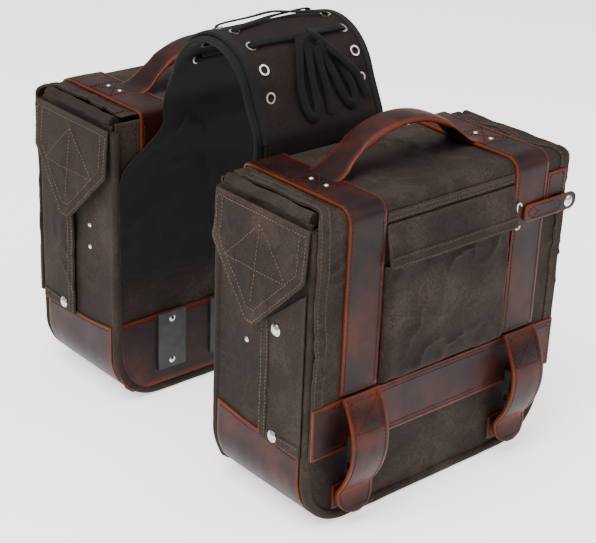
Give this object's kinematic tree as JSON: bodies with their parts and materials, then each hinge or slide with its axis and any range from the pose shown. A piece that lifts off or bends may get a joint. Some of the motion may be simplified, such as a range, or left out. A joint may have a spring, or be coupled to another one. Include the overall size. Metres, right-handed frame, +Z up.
{
  "type": "motorcycle saddlebag",
  "caption": "Throw-over motorcycle saddlebag set: waxed canvas and leather bags with hinged lids, buckled straps and end flaps, joined by a laced yoke.",
  "frame": {"origin": "on the floor, midway between the two bags, under the middle of their length", "axes": "+X towards the rear of the bags, +Y across the motorcycle towards the left bag, +Z up"},
  "size_m": [0.4134, 0.5888, 0.5036],
  "materials": {
    "waxed_canvas": "waxed, matt",
    "oiled_leather": "oiled pull-up",
    "yoke_canvas": "matt",
    "binding_tape": "matt",
    "lace_cord": "matt",
    "liner_fabric": "coated",
    "board_plastic": "matt",
    "buckle_plastic": "satin",
    "strip_nylon": "ribbed",
    "nickel_metal": "polished nickel"
  },
  "bodies": {
    "bags": {"right_shell": "waxed_canvas", "left_shell": "waxed_canvas", "liners": "liner_fabric", "base_boards": "board_plastic", "base_leathers": "oiled_leather", "rim_pipings": "waxed_canvas", "end_rivets": "nickel_metal", "snap_studs": "nickel_metal", "buckle_anchors": "oiled_leather", "buckle_housings": "buckle_plastic", "mounting_strips": "strip_nylon", "strip_screws": "nickel_metal", "inner_yoke": "yoke_canvas", "outer_yoke": "yoke_canvas", "yoke_bindings": "binding_tape", "yoke_grommets": "nickel_metal", "yoke_lace": "lace_cord"},
    "right_lid": {"right_lid": "waxed_canvas", "right_lid_band": "oiled_leather", "right_lid_straps": "oiled_leather", "right_strap_rivets": "nickel_metal", "right_pocket": "waxed_canvas", "right_wire_hook": "nickel_metal", "right_corner_patch": "oiled_leather"},
    "right_pocket_flap": {"right_pocket_flap": "waxed_canvas"},
    "right_handle": {"right_handle": "oiled_leather"},
    "right_hook_tab": {"right_hook_tab": "oiled_leather", "right_tab_concho": "nickel_metal"},
    "right_front_strap_tail": {"right_front_strap_tail": "oiled_leather"},
    "right_front_buckle_clip": {"right_front_buckle_clip": "buckle_plastic"},
    "right_front_end_flap": {"right_front_end_flap": "waxed_canvas"},
    "right_front_side_flap": {"right_front_side_flap": "waxed_canvas", "right_front_conchos": "nickel_metal"},
    "right_rear_strap_tail": {"right_rear_strap_tail": "oiled_leather"},
    "right_rear_buckle_clip": {"right_rear_buckle_clip": "buckle_plastic"},
    "right_rear_end_flap": {"right_rear_end_flap": "waxed_canvas"},
    "right_rear_side_flap": {"right_rear_side_flap": "waxed_canvas", "right_rear_conchos": "nickel_metal"},
    "left_lid": {"left_lid": "waxed_canvas", "left_lid_band": "oiled_leather", "left_lid_straps": "oiled_leather", "left_strap_rivets": "nickel_metal", "left_pocket": "waxed_canvas", "left_wire_hook": "nickel_metal", "left_corner_patch": "oiled_leather"},
    "left_pocket_flap": {"left_pocket_flap": "waxed_canvas"},
    "left_handle": {"left_handle": "oiled_leather"},
    "left_hook_tab": {"left_hook_tab": "oiled_leather", "left_tab_concho": "nickel_metal"},
    "left_front_strap_tail": {"left_front_strap_tail": "oiled_leather"},
    "left_front_buckle_clip": {"left_front_buckle_clip": "buckle_plastic"},
    "left_front_end_flap": {"left_front_end_flap": "waxed_canvas"},
    "left_front_side_flap": {"left_front_side_flap": "waxed_canvas", "left_front_conchos": "nickel_metal"},
    "left_rear_strap_tail": {"left_rear_strap_tail": "oiled_leather"},
    "left_rear_buckle_clip": {"left_rear_buckle_clip": "buckle_plastic"},
    "left_rear_end_flap": {"left_rear_end_flap": "waxed_canvas"},
    "left_rear_side_flap": {"left_rear_side_flap": "waxed_canvas", "left_rear_conchos": "nickel_metal"}
  },
  "joints": [
    {"name": "right_lid_hinge", "type": "hinge", "parent": "bags", "child": "right_lid", "pos_m": [0, -0.105, 0.3718], "axis": [-1, 0, 0], "range_deg": [0, 60]},
    {"name": "right_pocket_flap_hinge", "type": "hinge", "parent": "right_lid", "child": "right_pocket_flap", "pos_m": [0, -0.2654, 0.35], "axis": [-1, 0, 0], "range_deg": [0, 100]},
    {"name": "right_handle_lean", "type": "hinge", "parent": "right_lid", "child": "right_handle", "pos_m": [0, -0.177, 0.378], "axis": [1, 0, 0], "range_deg": [-20, 55], "stiffness_Nm_per_rad": 0.2},
    {"name": "right_hook_tab_turn", "type": "hinge", "parent": "right_lid", "child": "right_hook_tab", "pos_m": [0.187, -0.2705, 0.312], "axis": [0, -1, 0], "range_deg": [0, 80]},
    {"name": "right_front_strap_tail_lift", "type": "hinge", "parent": "right_lid", "child": "right_front_strap_tail", "pos_m": [-0.125, -0.2689, 0.165], "axis": [-1, 0, 0], "range_deg": [0, 75]},
    {"name": "right_front_buckle_clip_slide", "type": "slide", "parent": "bags", "child": "right_front_buckle_clip", "axis": [0, 0, 1], "range_m": [0, 0.022]},
    {"name": "right_front_end_flap_lift", "type": "hinge", "parent": "bags", "child": "right_front_end_flap", "pos_m": [-0.1908, -0.179, 0.362], "axis": [0, 1, 0], "range_deg": [0, 100]},
    {"name": "right_front_side_flap_swing", "type": "hinge", "parent": "bags", "child": "right_front_side_flap", "pos_m": [-0.1904, -0.2525, 0.17], "axis": [0, 0, 1], "range_deg": [0, 100]},
    {"name": "right_rear_strap_tail_lift", "type": "hinge", "parent": "right_lid", "child": "right_rear_strap_tail", "pos_m": [0.125, -0.2689, 0.165], "axis": [-1, 0, 0], "range_deg": [0, 75]},
    {"name": "right_rear_buckle_clip_slide", "type": "slide", "parent": "bags", "child": "right_rear_buckle_clip", "axis": [0, 0, 1], "range_m": [0, 0.022]},
    {"name": "right_rear_end_flap_lift", "type": "hinge", "parent": "bags", "child": "right_rear_end_flap", "pos_m": [0.1908, -0.179, 0.362], "axis": [0, -1, 0], "range_deg": [0, 100]},
    {"name": "right_rear_side_flap_swing", "type": "hinge", "parent": "bags", "child": "right_rear_side_flap", "pos_m": [0.1904, -0.2525, 0.17], "axis": [0, 0, -1], "range_deg": [0, 100]},
    {"name": "left_lid_hinge", "type": "hinge", "parent": "bags", "child": "left_lid", "pos_m": [0, 0.105, 0.3718], "axis": [1, 0, 0], "range_deg": [0, 60]},
    {"name": "left_pocket_flap_hinge", "type": "hinge", "parent": "left_lid", "child": "left_pocket_flap", "pos_m": [0, 0.2654, 0.35], "axis": [1, 0, 0], "range_deg": [0, 100]},
    {"name": "left_handle_lean", "type": "hinge", "parent": "left_lid", "child": "left_handle", "pos_m": [0, 0.177, 0.378], "axis": [-1, 0, 0], "range_deg": [-20, 55], "stiffness_Nm_per_rad": 0.2},
    {"name": "left_hook_tab_turn", "type": "hinge", "parent": "left_lid", "child": "left_hook_tab", "pos_m": [0.187, 0.2705, 0.312], "axis": [0, -1, 0], "range_deg": [0, 80]},
    {"name": "left_front_strap_tail_lift", "type": "hinge", "parent": "left_lid", "child": "left_front_strap_tail", "pos_m": [-0.125, 0.2689, 0.165], "axis": [1, 0, 0], "range_deg": [0, 75]},
    {"name": "left_front_buckle_clip_slide", "type": "slide", "parent": "bags", "child": "left_front_buckle_clip", "axis": [0, 0, 1], "range_m": [0, 0.022]},
    {"name": "left_front_end_flap_lift", "type": "hinge", "parent": "bags", "child": "left_front_end_flap", "pos_m": [-0.1908, 0.179, 0.362], "axis": [0, 1, 0], "range_deg": [0, 100]},
    {"name": "left_front_side_flap_swing", "type": "hinge", "parent": "bags", "child": "left_front_side_flap", "pos_m": [-0.1904, 0.2525, 0.17], "axis": [0, 0, -1], "range_deg": [0, 100]},
    {"name": "left_rear_strap_tail_lift", "type": "hinge", "parent": "left_lid", "child": "left_rear_strap_tail", "pos_m": [0.125, 0.2689, 0.165], "axis": [1, 0, 0], "range_deg": [0, 75]},
    {"name": "left_rear_buckle_clip_slide", "type": "slide", "parent": "bags", "child": "left_rear_buckle_clip", "axis": [0, 0, 1], "range_m": [0, 0.022]},
    {"name": "left_rear_end_flap_lift", "type": "hinge", "parent": "bags", "child": "left_rear_end_flap", "pos_m": [0.1908, 0.179, 0.362], "axis": [0, -1, 0], "range_deg": [0, 100]},
    {"name": "left_rear_side_flap_swing", "type": "hinge", "parent": "bags", "child": "left_rear_side_flap", "pos_m": [0.1904, 0.2525, 0.17], "axis": [0, 0, 1], "range_deg": [0, 100]}
  ]
}
